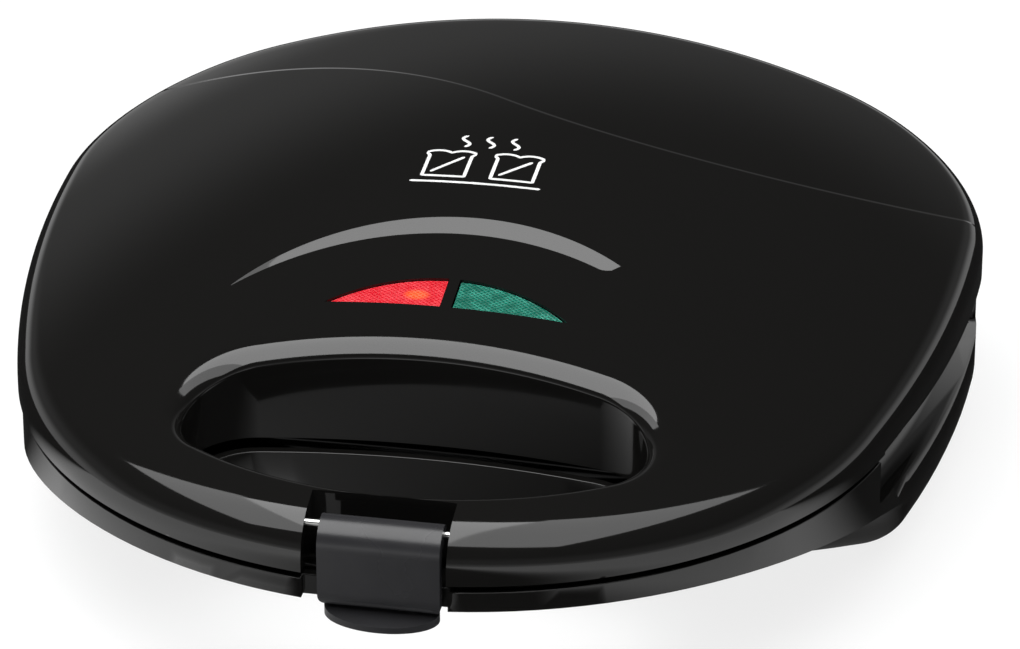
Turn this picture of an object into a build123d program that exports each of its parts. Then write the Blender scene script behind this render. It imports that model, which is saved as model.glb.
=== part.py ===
from build123d import *
import math
import os

# Two-slice sandwich toaster, closed, standing on its feet.
# Millimetres, +Z up, front handle towards -Y. The origin lies on the surface it stands on, at the middle
# of the overall length and width. Places along the toaster are given as distances behind the lid's front.

# ---- housing outline and lid ------------------------------------------------------------------------
WIDTH = 236.0                # lid, side to side
DEPTH = 243.0                # lid, front to back
FRONT_RADIUS = 116.3         # plan outline: front arc
FRONT_SWEEP = 13.1           # degrees turned by half of the front arc
CORNER_RADIUS = 106.4        # plan outline: front corner arc
CORNER_TURN = 73.7           # outline direction, in degrees, where the corner arc ends
REAR_TURN = 162.7            # outline direction where the rear corner ends
WALL = 2.4                   # moulded wall of both housings
LID_RIM = 40.0               # height of the lid's rim at the handle
RING_END = 82.0              # the handle band ends here, on lid and base
SIDE_RELIEF = 1.5            # the lid's rim is cut up by this much behind the handle
CROWN_TOP = 76.7             # highest point of the lid
CROWN_PEAK = 193.6           # distance of that point behind the front
CROWN_LENGTH_RADIUS = 740.0  # crown curvature, front to back
CROWN_SIDE_RADIUS = 315.0    # crown curvature, side to side
EDGE_RADIUS = 12.0           # rounding between crown and lid wall
STEP_DROP = 0.8              # the lid's rear field lies this much lower, behind a wave-shaped step
STEP_CREST = (-88.0, 207.3)  # rearmost point of the wave on the left: x, distance
STEP_CREST_RADIUS = 156.0
STEP_TROUGH_X = 58.0         # foremost point of the wave on the right
STEP_TROUGH_RADIUS = 120.0
ARCH_TOP = 120.9             # crescent facet above the lamps: its foremost arc at the middle
ARCH_RADIUS = 66.0
ARCH_BAND = 6.3              # width at the middle
ARCH_INNER_RADIUS = 76.0
ARCH_DEPTH = 0.6

# ---- finger opening, through lid and base -------------------------------------------------------------
GRIP_FRONT = 16.3            # front edge
GRIP_REAR = 66.0             # rear edge
GRIP_FRONT_RADIUS = 82.0
GRIP_REAR_RADIUS = 215.0
GRIP_END_RADIUS = 17.0
PARTITION = 78.0             # cross wall between the handle band and the space for the plates
GRIP_STEP = 3.4              # the opening in the base is smaller all round by this much
RIB = 1.8                    # stiffening ribs inside the handle halves
RIB_PLACES = (31.0, 47.0)
RIB_SETBACK = 4.0

# ---- base ---------------------------------------------------------------------------------------------
BASE_INSET = 0.8             # base outline lies this far inside the lid's
BASE_TOP = 38.0              # rim of the base
BASE_BOTTOM = 5.0            # underside of the base
BASE_ROUND = 12.0            # rounding along the underside
SIDE_TOP = 26.5              # ledge below the recess on each side
SIDE_INSET = 5.5             # depth of the side recess
REAR_START = 184.0           # the side recess ends here
TUB_FRONT = 66.0             # front wall of the tub, below the handle
TUB_RADIUS = 212.0
TUB_CORNER = 16.0
SKIRT_END = 104.0            # the lip's lower edge runs out here, along the tub
LIP_BOTTOM = 33.0            # underside of the base's handle lip at the front
LIP_RADIUS = 345.0           # its sweep down to the tub
COVER_INSET = 14.0           # edge of the bottom cover, inside the tub's outline
COVER_LAP = 10.0             # the base's bottom reaches this far over the cover
COVER_SHEET = 1.2
COVER_SCREW_FRONT = (90.0, 112.0)    # x and distance behind the front
COVER_SCREW_REAR = (88.0, 49.0)      # x and distance ahead of the rear
COVER_BOSS = 12.0

# ---- cooking plates and what lies on their backs ------------------------------------------------------
PART_HEIGHT = 39.05          # the plates meet here
PLATE_GAP = 0.5
PLATE_WIDTH = 200.0
PLATE_DEPTH = 122.0
PLATE_START = 84.0
PLATE_CORNER = 16.0
PLATE_SHEET = 2.5
PLATE_LAP = 4.0              # overlap of the plate on the deck around it
PLATE_BACK = 13.0            # depth of the plate's back below its face
POCKET_WIDTH = 82.0
POCKET_LENGTH = 106.0
POCKET_INNER = 5.0           # distance of a pocket from the middle
POCKET_DEPTH = 10.5
POCKET_TAPER = 14.0
POCKET_CORNER = 6.0
POCKET_WALL = 1.0            # the back stands this much wider than the pocket's mouth
RIDGE = 6.0                  # diagonal cutting ridge
ELEMENT_RADIUS = 3.1
ELEMENT_SPAN = 104.0
ELEMENT_FRONT = 112.0
ELEMENT_REAR = 186.0
ELEMENT_BEND = 24.0
ELEMENT_PIN = (1.4, 10.0)    # radius and length of a connecting pin
STRAP_PLACES = (126.0, 150.0, 174.0)
STRAP_LENGTH = 118.0
STRAP_WIDTH = 10.0
STRAP_SHEET = 1.2
SHIELD_WIDTH = 126.0
SHIELD_START = 104.0
SHIELD_DEPTH = 79.0
SHIELD_SHEET = 0.6
SHIELD_SKIRT = 6.0
SHIELD_CORNER = 6.0
CONTROL_X = 26.0             # thermostat on the right, fuse on the left
THERMOSTAT_RADIUS = 8.0
FUSE_SIZE = (18.0, 8.0)

# ---- lamps --------------------------------------------------------------------------------------------
LENS_RADIUS = 43.0           # the two lamp windows together form a segment of this radius
LENS_CHORD = 83.1            # its straight front edge
LENS_RISE = 11.1
LENS_SPLIT = 1.6             # half of the bar between the windows
LENS_SINK = 0.6              # the windows lie this far below the lid's surface
LENS_FLANGE = 1.4
LENS_SHEET = 1.4
LENS_ROOM = 0.25
LAMP_RADIUS = 3.0
LAMP_LENGTH = 18.0
LAMP_X = 14.0
HOLDER_SIZE = (84.0, 11.0, 1.6)
HOLDER_HEIGHT = 56.0
HOLDER_SCREW_X = 38.0
SADDLE = (3.0, 9.0, 4.0)

# ---- hinge --------------------------------------------------------------------------------------------
HINGE_BACK = 4.0             # hinge axis behind the lid's rear
HINGE_HEIGHT = 39.0
HINGE_X = 50.0               # middle of each knuckle
KNUCKLE_WIDTH = 14.0
KNUCKLE_RADIUS = 5.5
KNUCKLE_DROP = 10.0          # the ears run down the base's rear wall by this much
EAR_WIDTH = 4.0
EAR_GAP = 0.4
HINGE_PIN_RADIUS = 2.0
HINGE_HEAD = (3.2, 1.2)      # radius and thickness of the pin's head

# ---- latch --------------------------------------------------------------------------------------------
NOTCH_WIDTH = 33.6           # slot for the latch in the lid's handle
NOTCH_WALL = 1.8             # wall between this slot and the finger opening
CATCH_WIDTH = 34.0           # slot in the base's lip
CATCH_FACE = 4.2             # front face of the catch
LATCH_WIDTH = 28.4
LATCH_SHIFT = 1.3            # the latch has slid towards one end of its play
LATCH_SHEET = 3.0
LATCH_FACE = 0.5             # its plate lies this far behind the lid's front
LATCH_AXIS = 6.6             # latch pin behind the lid's front
LATCH_AXIS_HEIGHT = 50.3
LATCH_BARREL = 2.4
LATCH_PIN_RADIUS = 0.9
LATCH_CURL = 36.0            # below this height the plate curls back under the lip
LATCH_CREASE = (4.4, 31.0)   # distance and height of the crease above the tongue
LATCH_CORNER = 4.0           # rounding of the plate's lower corners
LATCH_HOOK_TOP = 32.6
LATCH_HOOK = 2.2
LATCH_HOOK_TIP = 8.4
LATCH_REACH = 1.5            # how far the tongue stands in front of the lid
TONGUE_TIP = 29.2            # height of its upper edge
TONGUE_SHEET = 1.5
LATCH_ROUND = 0.8

# ---- small parts --------------------------------------------------------------------------------------
SCREW_RADIUS = 1.75
SCREW_LENGTH = 9.0
SCREW_HEAD = (3.2, 1.6)      # radius and thickness
SCREW_SLOT = (3.6, 0.8, 0.7)
BOSS_RADIUS = 4.0
FOOT_RADIUS = 7.0
FOOT_STEM = 3.0
FOOT_BARB = (4.2, 1.6)
FOOT_FRONT = (72.0, 112.0)   # x and distance behind the front
FOOT_REAR = (70.0, 45.0)     # x and distance ahead of the rear
TERMINAL_SIZE = (30.0, 14.0, 10.5)
TERMINAL_PLACE = (-45.0, 44.0)       # x and distance ahead of the rear
GLAND_X = -45.0
GLAND_HEIGHT = 20.0
GLAND_BORE = 3.2
GLAND_NECK = 4.0
GLAND_RIM = (5.5, 1.5)
FIT = 0.02                   # radial room of a screw in its thread or a pin in its seat
RUN = 0.06                   # radial room of a turning fit
SEAT = 0.05                  # room between pieces that lie against each other

# ---- values that follow -------------------------------------------------------------------------------
FRONT = -(DEPTH + HINGE_BACK + KNUCKLE_RADIUS - LATCH_REACH) / 2
REAR = FRONT + DEPTH
HINGE_Y = REAR + HINGE_BACK
LATCH_Y = FRONT + LATCH_AXIS
LOWER_FACE = PART_HEIGHT - PLATE_GAP / 2
DECK = LOWER_FACE - PLATE_SHEET - SEAT
BACK = LOWER_FACE - PLATE_BACK
ELEMENT_HEIGHT = BACK - SEAT - ELEMENT_RADIUS
STRAP_TOP = ELEMENT_HEIGHT - ELEMENT_RADIUS - SEAT
SHIELD_TOP = STRAP_TOP - STRAP_SHEET - SEAT
COVER_TOP = BASE_BOTTOM + COVER_SHEET
LAMP_PLACE = LENS_CHORD + LENS_RISE / 2
LAMP_HEIGHT = HOLDER_HEIGHT + 1 + LAMP_RADIUS
FAR = 200.0                  # longer than anything it cuts
OVER = 15.0                  # cutting and forming shapes run this far past the housing


def behind(distance):
    """Y of a place that lies this far behind the lid's front."""
    return FRONT + distance


def ahead(distance):
    """Y of a place that lies this far ahead of the lid's rear."""
    return REAR - distance


def sind(angle):
    return math.sin(math.radians(angle))


def cosd(angle):
    return math.cos(math.radians(angle))


def prism(face, low, high):
    """A plan face carried straight up from one height to another."""
    return extrude(Pos(0, 0, low) * face, high - low)


def slab(x, y, z):
    """A block between three pairs of bounds."""
    size = [high - low for low, high in (x, y, z)]
    middle = [(high + low) / 2 for low, high in (x, y, z)]
    return Pos(*middle) * Box(*size)


def stretch(start, end):
    """Everything between two distances behind the front."""
    return slab((-FAR, FAR), (behind(start), behind(end)), (-FAR, FAR))


def side_profile(edges, x, width):
    """A face in the plane x = 0, carried across from x by width."""
    return Pos(x, 0, 0) * extrude(Face(Wire(edges)), width, dir=(1, 0, 0))


def polygon_yz(points):
    return Polyline(*[(0, y, z) for y, z in points], close=True).edges()


def rod_x(radius, start, length, y, z):
    """A rod parallel to X."""
    return Pos(start + length / 2, y, z) * Rot(0, 90, 0) * Cylinder(radius, length)


def post(radius, x, y, low, high):
    return Pos(x, y, (low + high) / 2) * Cylinder(radius, high - low)


def turned_over(height):
    """A height under the parting plane, reflected to the lid's side."""
    return 2 * PART_HEIGHT - height


def reflected(piece):
    """The upper copy of a piece that lies under the lower plate."""
    return mirror(piece, Plane(origin=(0, 0, PART_HEIGHT), z_dir=(0, 0, 1)))


# ---- shapes shared by lid and base ----------------------------------------------------------------------
def outline_arcs():
    """Radius, start and end direction of each arc on one side, from the front middle to the rear middle.

    The side arc takes the radius that gives WIDTH, and the rear corner the one that gives DEPTH.
    """
    half = WIDTH / 2
    side = (half - FRONT_RADIUS * sind(FRONT_SWEEP)
            - CORNER_RADIUS * (sind(CORNER_TURN) - sind(FRONT_SWEEP))) / (1 - sind(CORNER_TURN))
    front_part = (FRONT_RADIUS * (1 - cosd(FRONT_SWEEP))
                  + CORNER_RADIUS * (cosd(FRONT_SWEEP) - cosd(CORNER_TURN)) + side * cosd(CORNER_TURN))
    slope = (1 + cosd(REAR_TURN)) / sind(REAR_TURN)
    rear_corner = (DEPTH - front_part - half * slope) / (-cosd(REAR_TURN) - (1 - sind(REAR_TURN)) * slope)
    rear = (half - rear_corner * (1 - sind(REAR_TURN))) / sind(REAR_TURN)
    turns = (0, FRONT_SWEEP, CORNER_TURN, 90, REAR_TURN, 180)
    return list(zip((FRONT_RADIUS, CORNER_RADIUS, side, rear_corner, rear), turns, turns[1:]))


def outline(inset=0.0):
    """Plan face of the housing, moved inward by inset."""
    edges = []
    for hand in (1, -1):
        x, y = 0.0, FRONT + inset
        for radius, start, end in outline_arcs():
            r = radius - inset
            spots = [(x + r * (sind(t) - sind(start)), y + r * (cosd(start) - cosd(t)))
                     for t in (start, (start + end) / 2, end)]
            edges.append(ThreePointArc(*[(hand * px, py) for px, py in spots]))
            x, y = spots[-1]
    return Face(Wire(edges))


def grip_plan(growth=0.0):
    """Finger opening: where two discs meet, with rounded ends."""
    front = Pos(0, behind(GRIP_FRONT + GRIP_FRONT_RADIUS)) * Circle(GRIP_FRONT_RADIUS + growth)
    rear = Pos(0, behind(GRIP_REAR - GRIP_REAR_RADIUS)) * Circle(GRIP_REAR_RADIUS + growth)
    plan = front & rear
    return fillet(plan.vertices(), GRIP_END_RADIUS + growth)


def notch(width, back, growth=0.0):
    """Slot for the latch, open to the front."""
    half = width / 2 + growth
    return slab((-half, half), (FRONT - FAR, behind(back) + growth), (-FAR, FAR))


def ribs(hole, low, high):
    """Upright ribs across the handle, in front of the finger opening, up to the plan face of a hole."""
    cross = [slab((hand * place - RIB / 2, hand * place + RIB / 2), (FRONT, behind(GRIP_REAR / 2)), (low, high))
             for hand in (-1, 1) for place in RIB_PLACES]
    band = outline(WALL / 2) - hole
    return [rib & prism(band, low, high) for rib in cross]


def plate_screw_places():
    """Corner screws of a cooking plate."""
    inset = 7
    x = PLATE_WIDTH / 2 - inset
    return [(hand * x, behind(distance)) for hand in (-1, 1)
            for distance in (PLATE_START + inset, PLATE_START + PLATE_DEPTH - inset)]


def cover_screw_places():
    places = [(COVER_SCREW_FRONT[0], behind(COVER_SCREW_FRONT[1])), (COVER_SCREW_REAR[0], ahead(COVER_SCREW_REAR[1]))]
    return [(hand * x, y) for hand in (-1, 1) for x, y in places]


def plate_opening(low, high):
    """Hole in the deck that a cooking plate hangs through."""
    plan = RectangleRounded(PLATE_WIDTH - 2 * PLATE_LAP, PLATE_DEPTH - 2 * PLATE_LAP, PLATE_CORNER - PLATE_LAP)
    return prism(Pos(0, behind(PLATE_START + PLATE_DEPTH / 2)) * plan, low, high)


def screw():
    """Pan-head screw that points up from its seat: the head lies below z = 0."""
    radius, sheet = SCREW_HEAD
    length, width, depth = SCREW_SLOT
    body = post(radius, 0, 0, -sheet, 0) + post(SCREW_RADIUS, 0, 0, 0, SCREW_LENGTH)
    slot = Box(length, width, 2 * depth) + Box(width, length, 2 * depth)
    return body - Pos(0, 0, -sheet) * slot


def screw_hole(x, y, seat):
    """Room for the shank of a screw that points up from its seat."""
    return post(SCREW_RADIUS + FIT, x, y, seat - 0.5, seat + SCREW_LENGTH + 0.5)


# ---- lid --------------------------------------------------------------------------------------------------
def crown(inset=0.0):
    """Everything under the crown: a centre-line arc swung about an axis far below the toaster."""
    axis_height = CROWN_TOP - CROWN_SIDE_RADIUS
    peak = behind(CROWN_PEAK)
    radius = CROWN_LENGTH_RADIUS - inset

    def height(y):
        return CROWN_TOP - CROWN_LENGTH_RADIUS + math.sqrt(radius ** 2 - (y - peak) ** 2)

    low = LID_RIM - 2 * OVER
    start, end = FRONT - OVER, REAR + OVER
    edges = [
        ThreePointArc((0, start, height(start)), (0, peak, height(peak)), (0, end, height(end))),
        Line((0, end, height(end)), (0, end, low)),
        Line((0, end, low), (0, start, low)),
        Line((0, start, low), (0, start, height(start))),
    ]
    half_angle = math.degrees(math.asin((WIDTH / 2 + OVER) / (LID_RIM - axis_height)))
    axis = Axis((0, 0, axis_height), (0, 1, 0))
    return revolve(Face(Wire(edges)), axis, 2 * half_angle).rotate(axis, -half_angle)


def dome(inset=0.0, low=LID_RIM):
    """The lid's solid form, moved inward by inset, with its upper edge rounded."""
    body = prism(outline(inset), LID_RIM - OVER, CROWN_TOP + OVER) & crown(inset)
    body = fillet(body.faces().sort_by(Axis.Z)[-1].edges(), EDGE_RADIUS - inset)
    return body & slab((-FAR, FAR), (-FAR, FAR), (low, FAR))


def rear_field():
    """The space behind the wave-shaped step: two arcs that touch, the left one bowed to the rear."""
    crest_x, crest = STEP_CREST
    first = (crest_x, behind(crest) - STEP_CREST_RADIUS)
    reach = STEP_CREST_RADIUS + STEP_TROUGH_RADIUS
    rise = math.sqrt(reach ** 2 - (STEP_TROUGH_X - crest_x) ** 2)
    second = (STEP_TROUGH_X, first[1] + rise)

    def left(x):
        return (x, first[1] + math.sqrt(STEP_CREST_RADIUS ** 2 - (x - first[0]) ** 2))

    def right(x):
        return (x, second[1] - math.sqrt(STEP_TROUGH_RADIUS ** 2 - (x - second[0]) ** 2))

    touch = first[0] + (second[0] - first[0]) * STEP_CREST_RADIUS / reach
    side = WIDTH / 2 + OVER
    edges = [
        ThreePointArc(left(-side), left(crest_x), left(touch)),
        ThreePointArc(left(touch), right(STEP_TROUGH_X), right(side)),
        Line(right(side), (side, REAR + OVER)),
        Line((side, REAR + OVER), (-side, REAR + OVER)),
        Line((-side, REAR + OVER), left(-side)),
    ]
    return prism(Face(Wire(edges)), LID_RIM - OVER, CROWN_TOP + OVER)


def crescent():
    """The space of the sunk facet above the lamps, between two arcs that meet at its tips."""
    outer = Pos(0, behind(ARCH_TOP - ARCH_RADIUS)) * Circle(ARCH_RADIUS)
    inner = Pos(0, behind(ARCH_TOP - ARCH_BAND - ARCH_INNER_RADIUS)) * Circle(ARCH_INNER_RADIUS)
    return prism(outer - inner, LID_RIM, CROWN_TOP + OVER)


def lens_plan(hand, growth=0.0):
    """Plan of one lamp window: half of a segment of a circle."""
    disc = Pos(0, behind(LENS_CHORD + LENS_RISE - LENS_RADIUS)) * Circle(LENS_RADIUS + growth)
    size = LENS_RADIUS
    block = Pos(hand * (LENS_SPLIT - growth + size / 2), behind(LENS_CHORD) - growth + size / 2)
    return disc & block * Rectangle(size, size)


def knuckle(hand, start, width, edges):
    """A hinge knuckle and the arm that carries it."""
    arm = side_profile(edges, hand * HINGE_X + start, width)
    return arm + rod_x(KNUCKLE_RADIUS, hand * HINGE_X + start, width, HINGE_Y, HINGE_HEIGHT)


def make_lid_shell():
    lowered = rear_field()
    form = (dome() - lowered) + (dome(STEP_DROP) & lowered)
    form -= crescent() - dome(ARCH_DEPTH, LID_RIM - 1)
    form -= slab((-FAR, FAR), (behind(RING_END), FAR), (0, LID_RIM + SIDE_RELIEF))
    space = dome(WALL, LID_RIM - 1)
    back = GRIP_FRONT - NOTCH_WALL
    channel = (space & stretch(0, PARTITION)) - prism(grip_plan(WALL), 0, FAR) - notch(NOTCH_WIDTH, back, WALL)
    room = space & stretch(PARTITION + WALL, DEPTH)
    deck = turned_over(DECK)
    room -= slab((-FAR, FAR), (-FAR, FAR), (deck, deck + WALL)) - plate_opening(0, FAR)
    shell = form - channel - room - prism(grip_plan(), 0, FAR) - notch(NOTCH_WIDTH, back)
    shell -= stretch(PARTITION + WALL, DEPTH) & prism(outline(WALL), 0, deck)
    shell = shell + [rib & form for rib in ribs(grip_plan(WALL / 2), LID_RIM + RIB_SETBACK, CROWN_TOP)]
    arm = polygon_yz([
        (HINGE_Y - 2, HINGE_HEIGHT + KNUCKLE_RADIUS * 0.95),
        (REAR - 18, HINGE_HEIGHT + 16),
        (REAR - 18, LID_RIM + SIDE_RELIEF + 1),
        (REAR - 3, LID_RIM + SIDE_RELIEF + 1),
        (HINGE_Y - KNUCKLE_RADIUS * 0.8, HINGE_HEIGHT - KNUCKLE_RADIUS * 0.5),
        (HINGE_Y, HINGE_HEIGHT),
    ])
    for hand in (-1, 1):
        shell += knuckle(hand, -KNUCKLE_WIDTH / 2, KNUCKLE_WIDTH, arm)
        shell -= prism(lens_plan(hand, LENS_ROOM), LID_RIM + OVER, FAR)
        shell -= rod_x(HINGE_PIN_RADIUS + RUN, hand * HINGE_X - FAR / 8, FAR / 4, HINGE_Y, HINGE_HEIGHT)
        y = behind(LAMP_PLACE)
        shell += post(BOSS_RADIUS, hand * HOLDER_SCREW_X, y, HOLDER_HEIGHT + SEAT, CROWN_TOP) & form
        shell -= screw_hole(hand * HOLDER_SCREW_X, y, HOLDER_HEIGHT - HOLDER_SIZE[2])
    for x, y in plate_screw_places():
        shell += post(BOSS_RADIUS, x, y, deck, CROWN_TOP) & form
        shell -= screw_hole(x, y, turned_over(LOWER_FACE - SCREW_HEAD[1]))
    half = NOTCH_WIDTH / 2 + WALL + 1
    return shell - rod_x(LATCH_PIN_RADIUS + FIT, -half, 2 * half, LATCH_Y, LATCH_AXIS_HEIGHT)


# ---- base -------------------------------------------------------------------------------------------------
def tub_plan(inset):
    """Plan of the low part of the base, straight-fronted below the handle."""
    disc_centre = behind(TUB_FRONT + TUB_RADIUS)
    disc = Pos(0, disc_centre) * Circle(TUB_RADIUS - inset)
    plan = outline(BASE_INSET + inset) & disc
    corners = plan.vertices().sort_by(lambda v: abs(math.hypot(v.X, v.Y - disc_centre) - TUB_RADIUS + inset))
    return fillet(corners[:2], max(TUB_CORNER - inset, 1))


def base_form(inset=0.0):
    """The base's solid form, moved inward by inset: the tub, the handle's lip and the rim."""
    tub = prism(tub_plan(inset), BASE_BOTTOM + inset, SIDE_TOP - inset)
    tub = fillet(tub.faces().sort_by(Axis.Z)[0].edges(), BASE_ROUND - inset)
    under_lip = Pos(0, FRONT, LIP_BOTTOM - LIP_RADIUS) * Rot(0, 90, 0) * Cylinder(LIP_RADIUS + inset, 2 * FAR)
    above = BASE_TOP + 1 if inset else BASE_TOP
    ring_end = PARTITION if inset else RING_END
    ring = prism(outline(BASE_INSET + inset), 0, above) & stretch(-1, ring_end)
    if not inset:
        ring += prism(outline(BASE_INSET), 0, SIDE_TOP) & stretch(-1, SKIRT_END)
    ring -= under_lip
    roof = DECK - WALL if inset else BASE_TOP
    core = prism(outline(BASE_INSET + SIDE_INSET + inset), SIDE_TOP - inset - 4, roof)
    rear = prism(outline(BASE_INSET + inset), SIDE_TOP - inset - 4, roof)
    return [tub, ring, core & stretch(PARTITION + inset, DEPTH), rear & stretch(REAR_START + inset, DEPTH)]


def base_ears(hand):
    """Edges of the two ears that stand beside the lid's knuckle: their start and width."""
    reach = KNUCKLE_WIDTH / 2 + EAR_GAP
    return [(-reach - EAR_WIDTH, EAR_WIDTH), (reach, EAR_WIDTH)]


def gland_spot():
    """Where the gland's axis leaves the base's rear wall, and the wall's turn there."""
    radius = outline_arcs()[-1][0]
    turn = math.degrees(math.asin(GLAND_X / (radius - BASE_INSET)))
    return Pos(GLAND_X, REAR - radius + (radius - BASE_INSET) * cosd(turn), GLAND_HEIGHT) * Rot(0, 0, -turn)


def make_base_shell():
    solid = base_form()
    form = solid[0] + solid[1:]
    shell = form - prism(grip_plan(-GRIP_STEP), SIDE_TOP - OVER, FAR) - notch(CATCH_WIDTH, CATCH_FACE)
    tub, ring, core, rear = base_form(WALL)
    ring = ring - prism(grip_plan(WALL - GRIP_STEP), 0, FAR) - notch(CATCH_WIDTH, CATCH_FACE, WALL)
    shell = shell - tub - ring - core - rear
    shell = shell - plate_opening(DECK - WALL - 1, FAR) - prism(tub_plan(COVER_INSET), 0, COVER_TOP + SEAT)
    plate = RectangleRounded(PLATE_WIDTH + 2, PLATE_DEPTH + 2, PLATE_CORNER + 1)
    shell -= prism(Pos(0, behind(PLATE_START + PLATE_DEPTH / 2)) * plate, DECK, FAR)
    shell -= prism(tub_plan(COVER_INSET + COVER_LAP), 0, BASE_BOTTOM + 2 * WALL)
    hole = grip_plan(WALL / 2 - GRIP_STEP)
    shell = shell + [rib & form for rib in ribs(hole, BASE_BOTTOM, BASE_TOP - RIB_SETBACK)]
    low = LOWER_FACE - SCREW_HEAD[1] - SCREW_LENGTH - 1
    for x, y in plate_screw_places():
        shell += post(BOSS_RADIUS, x, y, low - 2, DECK)
        shell -= post(SCREW_RADIUS + FIT, x, y, low, FAR)
    for x, y in cover_screw_places():
        shell += post(BOSS_RADIUS, x, y, COVER_TOP + SEAT, BASE_BOTTOM + COVER_BOSS)
        shell -= screw_hole(x, y, BASE_BOTTOM)
    arm = polygon_yz([
        (HINGE_Y + KNUCKLE_RADIUS * 0.8, HINGE_HEIGHT - KNUCKLE_RADIUS * 0.6),
        (REAR - 12, HINGE_HEIGHT - KNUCKLE_RADIUS - KNUCKLE_DROP),
        (REAR - 12, BASE_TOP),
        (HINGE_Y - 2, BASE_TOP),
    ])
    inner = prism(outline(BASE_INSET + WALL / 2), 0, FAR)
    for hand in (-1, 1):
        for start, width in base_ears(hand):
            shell += knuckle(hand, start, width, arm) - inner
        shell -= rod_x(HINGE_PIN_RADIUS + FIT, hand * HINGE_X - FAR / 8, FAR / 4, HINGE_Y, HINGE_HEIGHT)
    bore = post(GLAND_NECK + FIT, 0, 0, -2 * WALL, 2 * WALL)
    bore += post(GLAND_RIM[0] + 0.3, 0, 0, -2 * WALL - GLAND_RIM[1], 2 * SEAT - WALL)
    return shell - gland_spot() * Rot(-90, 0, 0) * bore


def make_base_cover():
    """Flat cover under the tub, with holes for its screws and the feet."""
    cover = prism(tub_plan(COVER_INSET + SEAT), BASE_BOTTOM, COVER_TOP)
    for x, y in cover_screw_places():
        cover -= post(SCREW_RADIUS + FIT, x, y, 0, FAR)
    for x, y in foot_places().values():
        cover -= post(FOOT_STEM + FIT, x, y, 0, FAR)
    return cover


def foot_places():
    """Name and place of each foot."""
    places = {"front": (FOOT_FRONT[0], behind(FOOT_FRONT[1])), "rear": (FOOT_REAR[0], ahead(FOOT_REAR[1]))}
    return {f"foot_{end}_{side}": (hand * x, y)
            for end, (x, y) in places.items() for side, hand in (("left", -1), ("right", 1))}


def make_foot(x, y):
    """Rubber foot with a stem that is pulled through the cover."""
    pad = chamfer(post(FOOT_RADIUS, 0, 0, 0, BASE_BOTTOM - SEAT).edges().sort_by(Axis.Z)[0], 0.8)
    barb = post(FOOT_BARB[0], 0, 0, COVER_TOP + SEAT, COVER_TOP + SEAT + FOOT_BARB[1])
    return Pos(x, y, 0) * (pad + post(FOOT_STEM, 0, 0, BASE_BOTTOM - 1, COVER_TOP + 1) + barb)


# ---- plates, elements and shields -------------------------------------------------------------------------
def pocket_triangles(hand):
    """The two triangles of a pocket, on either side of its diagonal ridge."""
    x0, x1 = POCKET_INNER, POCKET_INNER + POCKET_WIDTH
    y0 = behind(PLATE_START + (PLATE_DEPTH - POCKET_LENGTH) / 2)
    y1 = y0 + POCKET_LENGTH
    diagonal = math.hypot(POCKET_WIDTH, POCKET_LENGTH)
    dx = RIDGE / 2 * diagonal / POCKET_LENGTH
    dy = RIDGE / 2 * diagonal / POCKET_WIDTH
    corners = [[(x0 + dx, y0), (x1, y0), (x1, y1 - dy)], [(x0, y0 + dy), (x0, y1), (x1 - dx, y1)]]
    if hand < 0:
        corners = [list(reversed(spots)) for spots in corners]
    faces = [make_face(Polyline(*[(hand * x, y) for x, y in spots], close=True)) for spots in corners]
    return [fillet(face.vertices(), POCKET_CORNER) for face in faces]


def make_lower_plate():
    """Die-cast cooking plate with two pockets, each cut corner to corner by a ridge."""
    middle = behind(PLATE_START + PLATE_DEPTH / 2)
    sheet = Pos(0, middle) * RectangleRounded(PLATE_WIDTH, PLATE_DEPTH, PLATE_CORNER)
    plate = prism(sheet, LOWER_FACE - PLATE_SHEET, LOWER_FACE)
    for hand in (-1, 1):
        x = hand * (POCKET_INNER + POCKET_WIDTH / 2)
        grown = 2 * POCKET_WALL
        back = RectangleRounded(POCKET_WIDTH + grown, POCKET_LENGTH + grown, POCKET_CORNER + POCKET_WALL)
        plate += prism(Pos(x, middle) * back, BACK, LOWER_FACE)
    for place in STRAP_PLACES:
        plate += post(POCKET_INNER, 0, behind(place), STRAP_TOP, LOWER_FACE - 1)
    for hand in (-1, 1):
        for face in pocket_triangles(hand):
            plate -= extrude(Pos(0, 0, LOWER_FACE) * face, -POCKET_DEPTH, taper=POCKET_TAPER)
    for place in STRAP_PLACES:
        plate -= screw_hole(0, behind(place), SHIELD_TOP - SHIELD_SHEET)
    for x, y in plate_screw_places():
        plate -= post(SCREW_RADIUS + FIT, x, y, 0, FAR)
        plate -= post(SCREW_HEAD[0] + 0.2, x, y, LOWER_FACE - SCREW_HEAD[1] - SEAT, FAR)
    return plate


def make_lower_element():
    """Bent tubular heater with a connecting pin at each end."""
    half = ELEMENT_SPAN / 2
    spots = [(-half, behind(ELEMENT_REAR)), (-half, behind(ELEMENT_FRONT)),
             (half, behind(ELEMENT_FRONT)), (half, behind(ELEMENT_REAR))]
    path = FilletPolyline(*[(x, y, ELEMENT_HEIGHT) for x, y in spots], radius=ELEMENT_BEND)
    tube = sweep(Plane(origin=path @ 0, z_dir=path % 0) * Circle(ELEMENT_RADIUS), path=path)
    radius, length = ELEMENT_PIN
    for hand in (-1, 1):
        pin = Pos(hand * half, behind(ELEMENT_REAR) + length / 2 - 1, ELEMENT_HEIGHT)
        tube += pin * Rot(90, 0, 0) * Cylinder(radius, length)
    return tube


def make_lower_straps():
    """Steel straps that press the element against the plate."""
    half = STRAP_LENGTH / 2
    straps = [slab((-half, half), (behind(place) - STRAP_WIDTH / 2, behind(place) + STRAP_WIDTH / 2),
                   (STRAP_TOP - STRAP_SHEET, STRAP_TOP)) - post(SCREW_RADIUS + FIT, 0, behind(place), 0, FAR)
              for place in STRAP_PLACES]
    return Compound(children=straps)


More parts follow.
